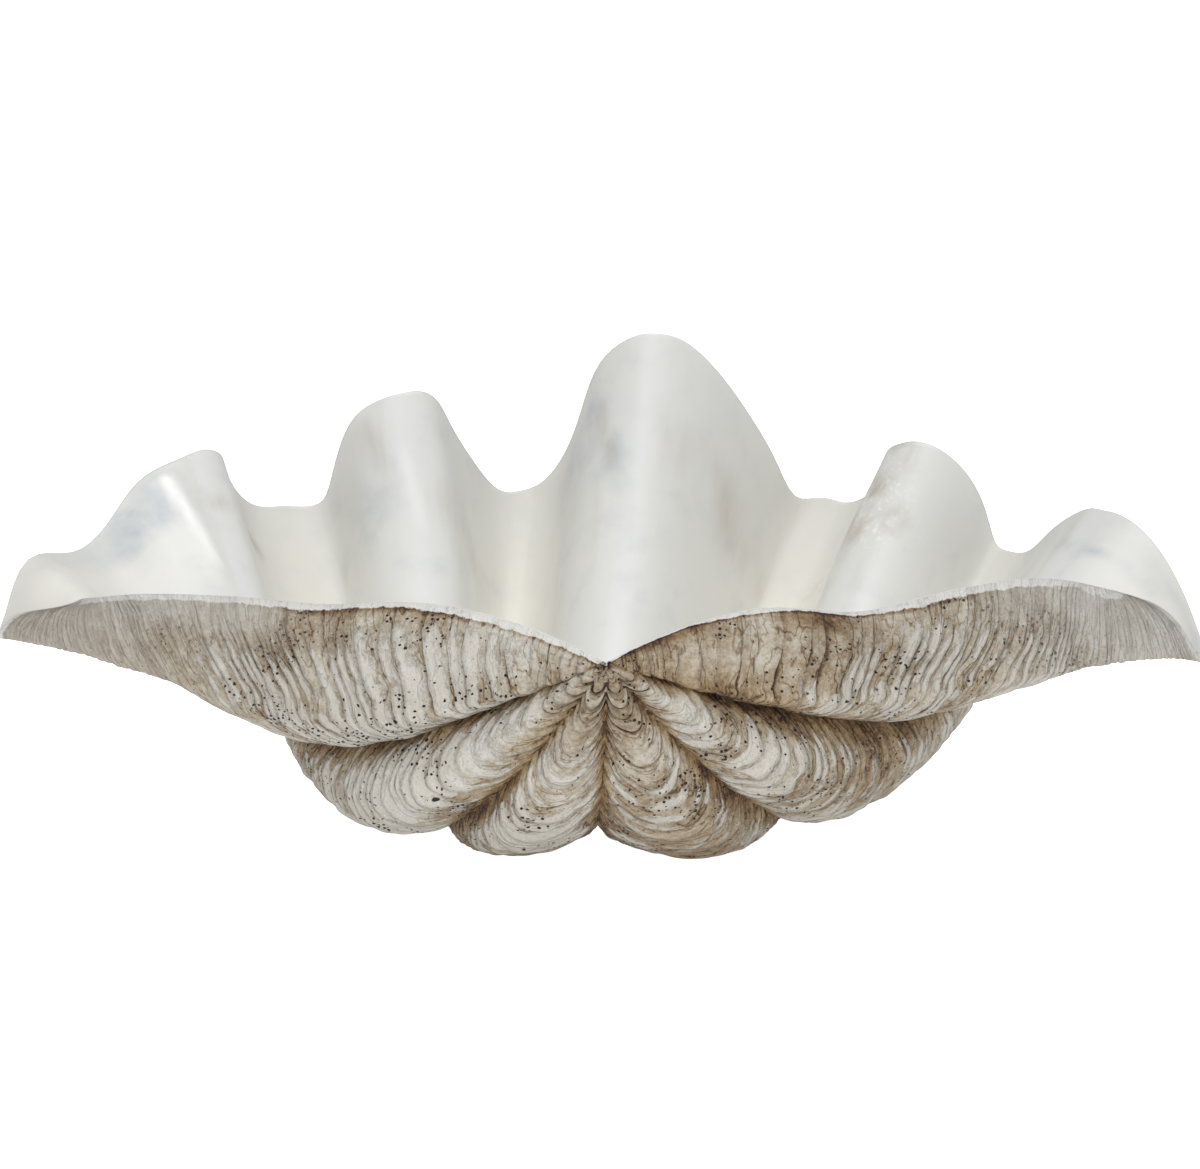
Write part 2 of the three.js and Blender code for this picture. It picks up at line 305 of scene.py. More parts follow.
# farther out under them, and all over the two tips, it is worn nearly smooth
WORN = [
    ((0.05, 0.42), (0.10, 0.85), 0.13, 0.9),
    ((5.92, 0.50), (5.85, 0.85), 0.13, 0.8),
]
from_hinge = np.minimum(fold, FOLDS - fold)
tip_wear = smooth(growth, 0.45, 0.85) * (1 - smooth(from_hinge, 0.3, 1.1))
tip_wear = np.clip(tip_wear + marks(fold, growth, WORN, FOLDS_PER_GROWTH_OUTSIDE), 0, 1)
rubbed = np.clip(marks(fold, growth, RUBBED, FOLDS_PER_GROWTH_OUTSIDE), 0, 1)
# at the margin and on the hinge edges it dies out
kept = (1 - smooth(growth, 0.86, 1)) * (1 - 0.8 * tip_wear) * smooth(from_hinge, 0.01, 0.1)
# each ledge reads the rough values this much farther on than the one before, so their heights differ
TO_NEXT_LEDGE = (9.1, 5.3, 7.7)
# the ledges' usual height as a share of LEDGE_RISE, its changes with their sizes in millimetres, its limits
USUAL_HEIGHT = 0.8
HEIGHT_CHANGES = [(1.2, 30), (0.7, 8)]
HEIGHT_LIMITS = (0.05, 2.2)
shifted = plain + spread(ledge_number[:, None]) * TO_NEXT_LEDGE
changes = [share * rough(shifted, size) for share, size in HEIGHT_CHANGES]
unevenness = np.clip(sum(changes, start=USUAL_HEIGHT), *HEIGHT_LIMITS)
rise = LEDGE_RISE * kept * unevenness * (1 - 0.5 * rubbed)
# low bumps under the ledges: height and size in millimetres, and how far off their values are read
BUMPS = [(0.9, 21, 500), (0.5, 7, 900)]
bumps = kept * sum(height * rough(plain + far_off, size) for height, size, far_off in BUMPS)
outside = plain + facing * spread(rise * row_rise + bumps)
outside = outside + forward * spread(rise * row_reach * LIP_REACH)

# bare chalk shows on the raised lips
chalk = row_chalk * smooth(unevenness, 0, 1.2) * kept * (1 - 0.8 * rubbed)
chalk = chalk * (0.3 * smooth(growth, 0.01, 0.05) + 0.7 * smooth(growth, 0.06, 0.2))

# silt and algae settle in the grooves of the belly, round the umbo and in a few chips along the hinge
# edges, and are washed off elsewhere, where the stroke's strength is negative; low down near the floor the
# darkening is painted shade where the shell meets the floor, with some silt
SILT_IN_GROOVES = 0.75
SILTED_GROOVE_WIDTH = 0.20
SILT_ROUND_UMBO = 0.15
SHADE_AND_SILT_NEAR_FLOOR = 0.5
# heights in millimetres that this last darkening, painted shade with some silt, is full and gone at
FLOOR_DARKENING_FULL, FLOOR_DARKENING_GONE = 2, 26
SILT_AND_SHADE_STROKES = [
    ((0, 0.23), (0, 0.31), 0.05, 0.6),
    ((0, 0.84), (0.05, 0.85), 0.05, 0.7),
    ((0.32, 0.44), (0.45, 0.97), 0.35, 0.15),
    ((0.25, 0.78), (0.40, 0.97), 0.25, 0.30),
    ((5.55, 0.40), (5.52, 0.48), 0.25, 0.10),
    ((1.40, 0.09), (1.45, 0.33), 0.28, -0.34),
    ((4.52, 0.10), (4.60, 0.26), 0.22, -0.30),
    ((FOLDS, 0.03), (FOLDS, 0.105), 0.05, 0.8),
    ((5.97, 0.225), (5.97, 0.262), 0.06, 0.55),
    ((5.05, 0.04), (5.20, 0.15), 0.32, 0.50),
    ((5.08, 0.15), (5.15, 0.38), 0.14, 0.30),
    ((5.62, 0.05), (5.54, 0.15), 0.28, 0.24),
    ((4.60, 0.30), (4.80, 0.44), 0.28, 0.40),
    ((1.75, 0.15), (1.90, 0.30), 0.22, 0.40),
    # painted shade: the contact shadow under a rib, low down near the floor
    ((3.30, 0.28), (3.70, 0.31), 0.25, 0.35),
    ((0.10, 0.05), (0.08, 0.20), 0.25, -0.28),
]
from_groove = rib_height(fold) + (from_hinge < 0.5)
on_belly = smooth(growth, 0.03, 0.1) * (1 - smooth(growth, 0.5, 0.75))
in_grooves = SILT_IN_GROOVES * np.exp(-((from_groove / SILTED_GROOVE_WIDTH) ** 2)) * on_belly
round_umbo = SILT_ROUND_UMBO * (1 - smooth(growth, 0.05, 0.16))
# painted shade where the shell meets the floor, with some silt: darker and browner low down
shade_and_silt_near_floor = SHADE_AND_SILT_NEAR_FLOOR * (1 - smooth(plain[..., 2], FLOOR_DARKENING_FULL, FLOOR_DARKENING_GONE))
silt_and_shade = in_grooves + round_umbo + shade_and_silt_near_floor + marks(fold, growth, SILT_AND_SHADE_STROKES, FOLDS_PER_GROWTH_OUTSIDE)
silt_and_shade = np.clip(silt_and_shade, -1, 1)

# The inside: smooth porcelain-like aragonite, which the clam's mantle laid down as it lay against it.
# The wall is thick at the umbo and thin at the margin, where it narrows once more to a rounded edge.
# Its thickness is in millimetres.
WALL_AT_UMBO = 16
WALL_AT_BELLY = 11
WALL_AT_MARGIN = 6
EDGE_NARROWING = 0.4
# at the umbo the wall is measured this way, into the bowl and down
INWARD_AT_UMBO = (0, 0.75, -0.66)
# the growth that the innermost point is at, just off the umbo
AT_UMBO = 0.001
INNER_ROWS = 40
# above 1, the rows lie closer towards the margin, where the rays run fastest
ROW_CROWDING = 1.6
# three folds carry a low ridge: strokes as on the outside, with its height in millimetres as strength
FOLDS_PER_GROWTH_INSIDE = 7.5
RIDGES = [
    ((0.88, 0.99), (0.93, 0.87), 0.035, 2.0),
    ((1.96, 0.97), (2.01, 0.87), 0.050, 0.8),
    ((2.95, 0.99), (3.05, 0.87), 0.050, 0.8),
]


def inner_surface(fold, growth):
    """The inside, at the same fold and growth as a point of the outside."""
    place = on_growth_line(fold, growth)
    near_umbo = 1 - smooth(place, 0, 0.25)
    wall = WALL_AT_BELLY + (WALL_AT_MARGIN - WALL_AT_BELLY) * smooth(place, 0.4, 1)
    wall = wall * (1 - EDGE_NARROWING * smooth(growth, 0.93, 1))
    wall = wall + (WALL_AT_UMBO - wall) * near_umbo
    wall = wall + marks(fold, growth, RIDGES, FOLDS_PER_GROWTH_INSIDE)
    inward = -outward(inner_guide, fold, place)
    inward = unit(inward + spread(near_umbo) * (INWARD_AT_UMBO - inward))
    return inner_guide(fold, place) + inward * spread(wall)


inner_rows = 1 - (1 - np.arange(1, INNER_ROWS + 1) / INNER_ROWS) ** ROW_CROWDING
inner_fold, inner_growth = np.meshgrid(columns, inner_rows)
inside = inner_surface(inner_fold, inner_growth)
inner_umbo = inner_surface(np.array([FOLDS / 2]), np.array([AT_UMBO]))[0]

# The lip: the rounded edge of the aragonite wall, all the way round, where the newest shell was laid down.
# It is drawn as lines from the outside's rim to the inside's, which bulge out by a share of half the wall.
LIP_LINES = 4
BULGE = 0.25
# the way the lip faces at the umbo, out of the hinge side and up
LIP_AT_UMBO = (0, -0.6, 0.8)


def around(pole, grid):
    """A sheet's rim as one line: umbo, left hinge edge, margin, right hinge edge."""
    return np.concatenate([[pole], grid[:, 0], grid[-1, 1:], grid[-2::-1, -1]])


outer_rim = around(UMBO, outside)
rim_fold = around(FOLDS / 2, fold)
rim_growth = around(AT_UMBO, growth)
inner_twin = inner_surface(rim_fold, rim_growth)
inner_twin[0] = inner_umbo
# the lip faces away from the shell: sideways along the hinge edges, forward at the margin, and both ways
# in the corners
sideways = unit(plain[:, [1, -2]] - plain[:, [0, -1]])
bulge = np.zeros_like(outer_rim)
rows = len(outside)
bulge[1:rows + 1] -= sideways[:, 0]
bulge[-rows:] -= sideways[::-1, 1]
bulge[rows:rows + COLUMNS + 1] += forward[-1]
bulge[0] = LIP_AT_UMBO
half_way = (inner_twin - outer_rim) / 2
half_wall = np.linalg.norm(half_way, axis=-1)
lip = []
for line in range(1, LIP_LINES + 1):
    angle = np.pi * line / (LIP_LINES + 1)
    swell = unit(bulge) * spread(BULGE * half_wall * math.sin(angle))
    lip.append(outer_rim + half_way * (1 - math.cos(angle)) + swell)

# The whole valve is one piece of shell, so its three surfaces go into one closed mesh: all points in one
# list, then the faces between them, wound so that they face out.
sheets = [UMBO[None], outside.reshape(-1, 3), inner_umbo[None], inside.reshape(-1, 3), *lip]
starts = np.cumsum([0] + [len(sheet) for sheet in sheets])
points = np.concatenate(sheets) + RESTED
points[:, 2] = np.maximum(points[:, 2], 0)
outer_index = starts[1] + np.arange(outside.shape[0] * outside.shape[1]).reshape(outside.shape[:2])
inner_index = starts[3] + np.arange(inside.shape[0] * inside.shape[1]).reshape(inside.shape[:2])


def quads(grid):
    """Four-sided faces between the rows and columns of a grid of point numbers."""
    corners = (grid[:-1, :-1], grid[1:, :-1], grid[1:, 1:], grid[:-1, 1:])
    return np.stack(corners, axis=-1).reshape(-1, 4).tolist()


def fan(pole, row):
    """Triangles from one point to a row of points."""
    return [[pole, row[i], row[i + 1]] for i in range(len(row) - 1)]


def stitch(left, right):
    """Joins two lines that may differ in number, always taking the one that lags."""
    faces, i, j = [], 0, 0
    while i < len(left) - 1 or j < len(right) - 1:
        left_next = (i + 1) / (len(left) - 1)
        right_next = (j + 1) / (len(right) - 1)
        if j == len(right) - 1 or (i < len(left) - 1 and left_next <= right_next):
            faces.append([left[i], left[i + 1], right[j]])
            i += 1
        else:
            faces.append([left[i], right[j + 1], right[j]])
            j += 1
    return faces


outside_faces = fan(starts[0], outer_index[0].tolist()) + quads(outer_index)
inner_faces = fan(starts[2], inner_index[0, ::-1].tolist()) + quads(inner_index[:, ::-1])
lip_lines = [start + np.arange(len(outer_rim)) for start in starts[4:-1]]
lip_rows = np.array([around(starts[0], outer_index), *lip_lines])
lip_rows = np.concatenate([lip_rows, lip_rows[:, :1]], axis=1)
lip_faces = quads(lip_rows)
last = lip_rows[-1].tolist()
margin_start, margin_end = rows, rows + COLUMNS
left_edge = [starts[2], *inner_index[:, 0].tolist()]
right_edge = [starts[2], *inner_index[:, -1].tolist()]
lip_faces += stitch(left_edge, last[:margin_start + 1])
lip_faces += stitch(inner_index[-1].tolist(), last[margin_start:margin_end + 1])
lip_faces += stitch(right_edge[::-1], last[margin_end:])
faces = outside_faces + inner_faces + lip_faces

mesh = bpy.data.meshes.new("clam_shell_grown")
mesh.from_pydata((points * MILLIMETRE).tolist(), [], faces)
mesh.validate()
mesh.polygons.foreach_set("use_smooth", np.ones(len(mesh.polygons), bool))
inside_material = np.arange(len(faces)) >= len(outside_faces)
mesh.polygons.foreach_set("material_index", inside_material.astype(int))


def keep(name, on_outside, on_inside, on_lip):
    """Stores a value of every point, for the materials to read."""
    lip_values = np.tile(on_lip, LIP_LINES)
    values = np.concatenate([[on_lip[0]], on_outside.ravel(), [on_lip[0]], on_inside.ravel(), lip_values])
    mesh.attributes.new(name, "FLOAT", "POINT").data.foreach_set("value", values.astype(np.float32))


# how far the white of the lip comes over the rim, in millimetres, at places along either hinge edge
LIP_BAND_PLACES = [0, 0.12, 0.25, 0.38, 0.49, 0.56, 0.76, 0.90, 1]
LIP_BAND_LEFT = [2.5, 3.5, 4.0, 4.5, 5.5, 5.0, 5.0, 6.0, 7]
LIP_BAND_RIGHT = [1.0, 1.5, 3.0, 3.0, 3.0, 4.5, 5.0, 5.5, 6]
LIP_BAND_AT_MARGIN = 5
from_edges = [np.linalg.norm(outside - outside[:, [column]], axis=-1) for column in (0, -1)]
from_margin = np.linalg.norm(outside - outside[-1], axis=-1)
bands = [
    np.interp(place[:, column], LIP_BAND_PLACES, band_widths)[:, None]
    for column, band_widths in ((0, LIP_BAND_LEFT), (-1, LIP_BAND_RIGHT))
]
from_either_edge = np.minimum(from_edges[0] / bands[0], from_edges[1] / bands[1])
from_rim = np.minimum(from_either_edge, from_margin / LIP_BAND_AT_MARGIN)

# discolouring of the inside, as strokes, and painted shade: blue-grey clouds, the first two partly painted
# shade on the left flanks beside two ridges; brownish streaks, partly painted shade on the flanks between
# the ridges;
# and a chalky patch
CLOUDS_AND_SHADE = [
    ((0.78, 0.99), (0.81, 0.945), 0.09, 1.0),
    ((2.78, 0.98), (2.90, 0.93), 0.07, 0.7),
    ((4.89, 0.955), (5.23, 0.93), 0.05, 0.9),
    ((1.90, 0.96), (1.80, 0.93), 0.10, 0.4),
    ((5.40, 0.97), (5.50, 0.94), 0.10, 0.5),
]
STREAKS_AND_SHADE = [
    ((1.03, 0.95), (1.34, 0.933), 0.04, 0.8),
    ((2.09, 0.935), (2.31, 0.898), 0.08, 0.4),
    ((2.82, 0.97), (2.92, 0.928), 0.02, 1.0),
    ((3.20, 0.945), (3.30, 0.915), 0.08, 1.0),
    ((1.85, 0.99), (1.92, 0.95), 0.03, 0.5),
    ((1.66, 0.93), (1.75, 0.91), 0.03, 0.6),
]
CHALKY_PATCH = [
    ((3.86, 0.99), (3.98, 0.94), 0.11, 1.0),
    ((3.86, 0.96), (3.68, 0.905), 0.09, 0.9),
]
# two folds carry a painted highlight: a near-white line along their ridges, where a softbox would glint
PAINTED_HIGHLIGHTS = [
    ((0.88, 0.985), (0.93, 0.89), 0.016, 1.0),
    ((1.96, 0.965), (2.00, 0.92), 0.030, 0.35),
]
# the inside turns greyer towards the margin, from this growth on
GREYING_FROM = 0.86
none_outside, none_inside, none_on_lip = 0 * fold, 0 * inner_fold, 0 * rim_fold
keep("ledge", ledge_number[:, None] + row_share + none_outside, none_inside, none_on_lip)
keep("rim", from_rim, none_inside, none_on_lip)
keep("wear", tip_wear, none_inside, none_on_lip)
keep("rubbed", rubbed, none_inside, none_on_lip)
keep("silt_and_shade", silt_and_shade, none_inside, none_on_lip)
keep("chalk", chalk, none_inside, none_on_lip)
keep("fold", fold, inner_fold, rim_fold)
keep("height", rib_height(fold), rib_height(inner_fold), rib_height(rim_fold))
keep("margin_grey", none_outside, smooth(inner_growth, GREYING_FROM), smooth(rim_growth, GREYING_FROM))
inner_marks = {"clouds_and_shade": CLOUDS_AND_SHADE, "streaks_and_shade": STREAKS_AND_SHADE, "chalky": CHALKY_PATCH, "painted_highlight": PAINTED_HIGHLIGHTS}
for name, strokes in inner_marks.items():
    on_inside = marks(inner_fold, inner_growth, strokes, FOLDS_PER_GROWTH_INSIDE)
    on_lip = marks(rim_fold, rim_growth, strokes, FOLDS_PER_GROWTH_INSIDE)
    keep(name, none_outside, on_inside, on_lip)

shell = bpy.data.objects.new("clam_shell_grown", mesh)
bpy.context.scene.collection.objects.link(shell)
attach(shell, "root")
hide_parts("clam_shell")


# The outside's material: weathered aragonite, chalky cream on the raised lips, with brown silt and algae
# stain left in the recesses, darkened further by painted shade under the lips and near the floor, which is
# what makes the ledges read from a distance.
def colour(hex_code):
    """An sRGB colour such as #DED9CF, turned linear."""
    channels = [int(hex_code[i:i + 2], 16) / 255 for i in (1, 3, 5)]
    linear = [c / 12.92 if c <= 0.04045 else ((c + 0.055) / 1.055) ** 2.4 for c in channels]
    return (*linear, 1)


def add(tree, kind, settings=None, inputs=None):
    """Adds a node with its settings. An input takes a value, or the output that it is linked to."""
    node = tree.nodes.new(kind)
    for name, value in (settings or {}).items():
        setattr(node, name, value)
    for name, value in (inputs or {}).items():
        if isinstance(value, bpy.types.NodeSocket):
            tree.links.new(value, node.inputs[name])
        else:
            node.inputs[name].default_value = value
    return node


def material_tree(name):
    """The empty node tree of a new material, which becomes the shell's next one."""
    material = bpy.data.materials.new(name)
    material.use_nodes = True
    material.node_tree.nodes.clear()
    shell.data.materials.append(material)
    return material.node_tree


tree = material_tree("weathered_aragonite")
where = add(tree, "ShaderNodeTexCoord").outputs["Object"]
ledge, rim, wear, rubbed, silt_and_shade, chalk = (
    add(tree, "ShaderNodeAttribute", {"attribute_name": name}).outputs["Fac"]
    for name in ("ledge", "rim", "wear", "rubbed", "silt_and_shade", "chalk")
)

# patches of about 30 mm, mottling of 5 or 6 mm and grit of 2 mm, which is drawn coarser than the real chalk
patches = add(
    tree, "ShaderNodeTexNoise", {},
    {"Vector": where, "Scale": 30, "Detail": 4},
).outputs["Fac"]
mottling = add(
    tree, "ShaderNodeTexNoise", {},
    {"Vector": where, "Scale": 180, "Detail": 5, "Roughness": 0.7},
).outputs["Fac"]
grit = add(
    tree, "ShaderNodeTexNoise", {},
    {"Vector": where, "Scale": 500, "Detail": 4, "Roughness": 0.7},
).outputs["Fac"]


def across_growth(scale, per_ledge, detail, roughness=0.5):
    """The inputs of a noise that is 1 / scale metres long along the growth lines, and finer across them."""
    fourth = add(
        tree, "ShaderNodeMath", {"operation": "MULTIPLY"},
        {0: ledge, 1: per_ledge / scale},
    ).outputs[0]
    return {"Vector": where, "W": fourth, "Scale": scale, "Detail": detail, "Roughness": roughness}


in_four = {"noise_dimensions": "4D"}
# growth lines about 3 mm apart, bands that differ from ledge to ledge, seams, and short slots in the ledges
lines = add(tree, "ShaderNodeTexNoise", in_four, across_growth(45, 2.6, 5, 0.75)).outputs["Fac"]
bands = add(tree, "ShaderNodeTexNoise", in_four, across_growth(30, 0.9, 2)).outputs["Fac"]
seams = add(tree, "ShaderNodeTexNoise", in_four, across_growth(40, 1.5, 3)).outputs["Fac"]
slots = add(tree, "ShaderNodeTexNoise", in_four, across_growth(130, 2.2, 1)).outputs["Fac"]

# a seam is a thin dark line where its noise passes one half
off_seam = add(tree, "ShaderNodeMath", {"operation": "SUBTRACT"}, {0: seams, 1: 0.5}).outputs[0]
off_seam = add(tree, "ShaderNodeMath", {"operation": "ABSOLUTE"}, {0: off_seam}).outputs[0]
seam = add(
    tree, "ShaderNodeMapRange", {"interpolation_type": "SMOOTHSTEP"},
    {"Value": off_seam, "From Min": 0.025, "From Max": 0.0},
).outputs[0]
slot = add(
    tree, "ShaderNodeMapRange", {"interpolation_type": "SMOOTHSTEP"},
    {"Value": slots, "From Min": 0.76, "From Max": 0.79},
).outputs[0]
bare = add(tree, "ShaderNodeMath", {"operation": "SUBTRACT"}, {0: 1.0, 1: wear}).outputs[0]

# the step behind each lip is darkened with a frayed edge, deeper on some ledges: brown wash that settles
# there, and painted shade of the lip's shadow
in_ledge = add(tree, "ShaderNodeMath", {"operation": "FRACT"}, {0: ledge}).outputs[0]
frayed = add(
    tree, "ShaderNodeMath", {"operation": "MULTIPLY_ADD"},
    {0: mottling, 1: 0.5, 2: in_ledge},
).outputs[0]
crevice_stain_and_shade = add(
    tree, "ShaderNodeMapRange", {"interpolation_type": "SMOOTHSTEP"},
    {"Value": frayed, "From Min": 0.52, "From Max": 0.32},
).outputs[0]
breaks = add(
    tree, "ShaderNodeMapRange", {"interpolation_type": "SMOOTHSTEP"},
    {"Value": seams, "From Min": 0.42, "From Max": 0.60},
).outputs[0]
unrubbed = add(
    tree, "ShaderNodeMath", {"operation": "MULTIPLY_ADD"},
    {0: rubbed, 1: -0.7, 2: 1.0},
).outputs[0]
for depth in (bare, breaks, unrubbed):
    crevice_stain_and_shade = add(tree, "ShaderNodeMath", {"operation": "MULTIPLY"}, {0: crevice_stain_and_shade, 1: depth}).outputs[0]

# pits that sponges and worms bored, 0.5 to 2 mm wide: ragged dots in some of the cells of a 2.5 mm net,
# more of them in some patches
PIT_RAGGEDNESS = 0.0016
wobble = add(tree, "ShaderNodeTexNoise", {}, {"Vector": where, "Scale": 600}).outputs["Color"]
ragged_place = add(
    tree, "ShaderNodeVectorMath", {"operation": "MULTIPLY_ADD"},
    {0: wobble, 1: (PIT_RAGGEDNESS,) * 3, 2: where},
).outputs[0]
cells = add(tree, "ShaderNodeTexVoronoi", {}, {"Vector": ragged_place, "Scale": 400})
chance = add(tree, "ShaderNodeSeparateColor", {}, {"Color": cells.outputs["Color"]})
crowding = add(
    tree, "ShaderNodeMath", {"operation": "MULTIPLY_ADD"},
    {0: patches, 1: 3.0, 2: -1.15},
).outputs[0]
chosen = add(
    tree, "ShaderNodeMath", {"operation": "SUBTRACT"},
    {0: crowding, 1: chance.outputs["Red"]},
).outputs[0]
reach = add(
    tree, "ShaderNodeMapRange", {},
    {"Value": chosen, "From Min": 0.0, "From Max": 0.4, "To Min": 0.10, "To Max": 0.36},
).outputs[0]
inside_reach = add(
    tree, "ShaderNodeMath", {"operation": "SUBTRACT"},
    {0: reach, 1: cells.outputs["Distance"]},
).outputs[0]
dot = add(
    tree, "ShaderNodeMapRange", {"interpolation_type": "SMOOTHSTEP"},
    {"Value": inside_reach, "From Min": 0.0, "From Max": 0.06},
).outputs[0]
hole = add(tree, "ShaderNodeMath", {"operation": "MAXIMUM"}, {0: dot, 1: slot}).outputs[0]
pit = add(tree, "ShaderNodeMath", {"operation": "MULTIPLY"}, {0: hole, 1: bare}).outputs[0]

# the lip's white comes over the rim with a ragged edge, and brown silt has settled along that edge
ragged = rim
for source, share in [(mottling, 1.4), (silt_and_shade, 0.8)]:
    ragged = add(
        tree, "ShaderNodeMath", {"operation": "MULTIPLY_ADD"},
        {0: source, 1: share, 2: ragged},
    ).outputs[0]
lip_band = add(
    tree, "ShaderNodeMapRange", {"interpolation_type": "SMOOTHSTEP"},
    {"Value": ragged, "From Min": 1.8, "From Max": 1.6},
).outputs[0]
underline = add(
    tree, "ShaderNodeMapRange", {"interpolation_type": "SMOOTHSTEP"},
    {"Value": ragged, "From Min": 2.5, "From Max": 1.8},
).outputs[0]
underline = add(tree, "ShaderNodeMath", {"operation": "MULTIPLY"}, {0: underline, 1: bare}).outputs[0]

# all that darkens the shell is added up, and one ramp goes from pale shell to silt: each source has a share
# and the value at which it changes nothing
stain = 0.405
for source, share, usual in [
    (lines, 0.65, 0.5),
    # the steps behind the lips: brown wash and painted shade
    (crevice_stain_and_shade, 0.55, 0.1),
    (bands, 0.5, 0.5),
    (patches, 0.8, 0.5),
    (mottling, 0.65, 0.5),
    (grit, 0.6, 0.5),
    (seam, 0.25, 0.1),
    # silt, with the painted shade near the floor and under a rib
    (silt_and_shade, 0.38, 0.0),
    (rubbed, 0.08, 0.0),
    (underline, 0.28, 0.0),
    (wear, -0.06, 0.0),
]:
    beyond = add(tree, "ShaderNodeMath", {"operation": "SUBTRACT"}, {0: source, 1: usual}).outputs[0]
    stain = add(
        tree, "ShaderNodeMath", {"operation": "MULTIPLY_ADD"},
        {0: beyond, 1: share, 2: stain},
    ).outputs[0]
ramp = add(tree, "ShaderNodeValToRGB", {}, {"Fac": stain})
ramp.color_ramp.elements[0].color = colour("#DEDCD6")
ramp.color_ramp.elements[1].color = colour("#2E2015")
for at, code in [(0.2, "#CFC9BC"), (0.4, "#B4A793"), (0.6, "#917D63"), (0.8, "#5C432C")]:
    ramp.color_ramp.elements.new(at).color = colour(code)
# the silt is ochre, and so is the painted shade that is added to it
ochre_share = add(
    tree, "ShaderNodeMath", {"operation": "MULTIPLY", "use_clamp": True},
    {0: silt_and_shade, 1: 1.2},
).outputs[0]
ochred = add(
    tree, "ShaderNodeMixRGB", {"blend_type": "MULTIPLY"},
    {"Fac": ochre_share, "Color1": ramp.outputs["Color"], "Color2": colour("#F0DCB8")},
).outputs[0]
# chalk lies on the raised lips in flakes with hard edges
flakes = add(tree, "ShaderNodeMath", {"operation": "MULTIPLY_ADD"}, {0: lines, 1: -1.6, 2: 0.8}).outputs[0]
flakes = add(tree, "ShaderNodeMath", {"operation": "ADD"}, {0: flakes, 1: chalk}).outputs[0]
for roughened, share in ((grit, 0.7), (mottling, 0.8)):
    beyond = add(tree, "ShaderNodeMath", {"operation": "SUBTRACT"}, {0: roughened, 1: 0.5}).outputs[0]
    flakes = add(
        tree, "ShaderNodeMath", {"operation": "MULTIPLY_ADD"},
        {0: beyond, 1: share, 2: flakes},
    ).outputs[0]
flakes = add(tree, "ShaderNodeMath", {"operation": "SUBTRACT"}, {0: flakes, 1: silt_and_shade}).outputs[0]
flake = add(
    tree, "ShaderNodeMapRange", {"interpolation_type": "SMOOTHSTEP"},
    {"Value": flakes, "From Min": 0.50, "From Max": 0.66, "To Max": 0.66},
).outputs[0]
worn_share = add(tree, "ShaderNodeMath", {"operation": "MULTIPLY"}, {0: wear, 1: 0.6}).outputs[0]
# over the silt and painted shade: chalk, the grey of the worn tips, the dark of the pits, and the lip's
# white
covered = ochred
for share, code in [(flake, "#DBD8D0"), (worn_share, "#CBC8C2"), (pit, "#241810"), (lip_band, "#EAE8E3")]:
    covered = add(
        tree, "ShaderNodeMixRGB", {},
        {"Fac": share, "Color1": covered, "Color2": colour(code)},
    ).outputs[0]

# mottling, grit and flakes stand out, and lines, crevices, seams and pits go in; a whole unit of relief is
# 2.2 mm deep, which is more than the real one, so that it shows
relief = mottling
for source, share in [
    (lines, -0.9),
    (grit, 0.6),
    (crevice_stain_and_shade, -0.4),
    (seam, -0.15),
    (flake, 0.2),
    (pit, -0.8),
]:
    relief = add(
        tree, "ShaderNodeMath", {"operation": "MULTIPLY_ADD"},
        {0: source, 1: share, 2: relief},
    ).outputs[0]
bump = add(tree, "ShaderNodeBump", {}, {"Height": relief, "Distance": 0.0022, "Strength": 1.0}).outputs[0]
chalky_shader = add(
    tree, "ShaderNodeBsdfPrincipled", {},
    {"Base Color": covered, "Roughness": 0.8, "IOR": 1.55, "Normal": bump},
).outputs[0]
add(tree, "ShaderNodeOutputMaterial", {}, {"Surface": chalky_shader})

# The inside's material: the same aragonite, laid down smooth and dense, so it has a satin, porcelain-like
# sheen. It is off-white with cool clouds, warm valleys and faint streaks that run from umbo to margin; some
# of the clouds and streaks are painted shade beside the ridges, and two ridges carry a painted highlight.
tree = material_tree("porcelain_aragonite")
where = add(tree, "ShaderNodeTexCoord").outputs["Object"]
ray, height, margin_grey, clouds_and_shade, streaks_and_shade, chalky, painted_highlight = (
    add(tree, "ShaderNodeAttribute", {"attribute_name": name}).outputs["Fac"]
    for name in ("fold", "height", "margin_grey", "clouds_and_shade", "streaks_and_shade", "chalky", "painted_highlight")
)
# swirls of about 20 mm and grains of 4 mm
swirls = add(tree, "ShaderNodeTexNoise", {}, {"Vector": where, "Scale": 45, "Detail": 4}).outputs["Fac"]
grains = add(tree, "ShaderNodeTexNoise", {}, {"Vector": where, "Scale": 260, "Detail": 4}).outputs["Fac"]
# flow is a noise drawn out along the rays, with nine streaks or so to a fold, each about 125 mm long
FLOW_SCALE = 8
STREAKS_PER_FOLD = 9
flow_place = add(
    tree, "ShaderNodeMath", {"operation": "MULTIPLY"},
    {0: ray, 1: STREAKS_PER_FOLD / FLOW_SCALE},
).outputs[0]
flow = add(
    tree, "ShaderNodeTexNoise", {"noise_dimensions": "4D"},
    {"Vector": where, "W": flow_place, "Scale": FLOW_SCALE, "Detail": 4, "Distortion": 0.3},
).outputs["Fac"]


def broken(mask, noise, low, high):
    """A soft mask of strokes, broken up by a noise that passes from low to high."""
    share = add(
        tree, "ShaderNodeMapRange", {"interpolation_type": "SMOOTHSTEP"},
        {"Value": noise, "From Min": low, "From Max": high},
    ).outputs[0]
    return add(tree, "ShaderNodeMath", {"operation": "MULTIPLY"}, {0: mask, 1: share}).outputs[0]


everywhere = 1.0
margin_grey_share = add(tree, "ShaderNodeMath", {"operation": "MULTIPLY"}, {0: margin_grey, 1: 0.35}).outputs[0]
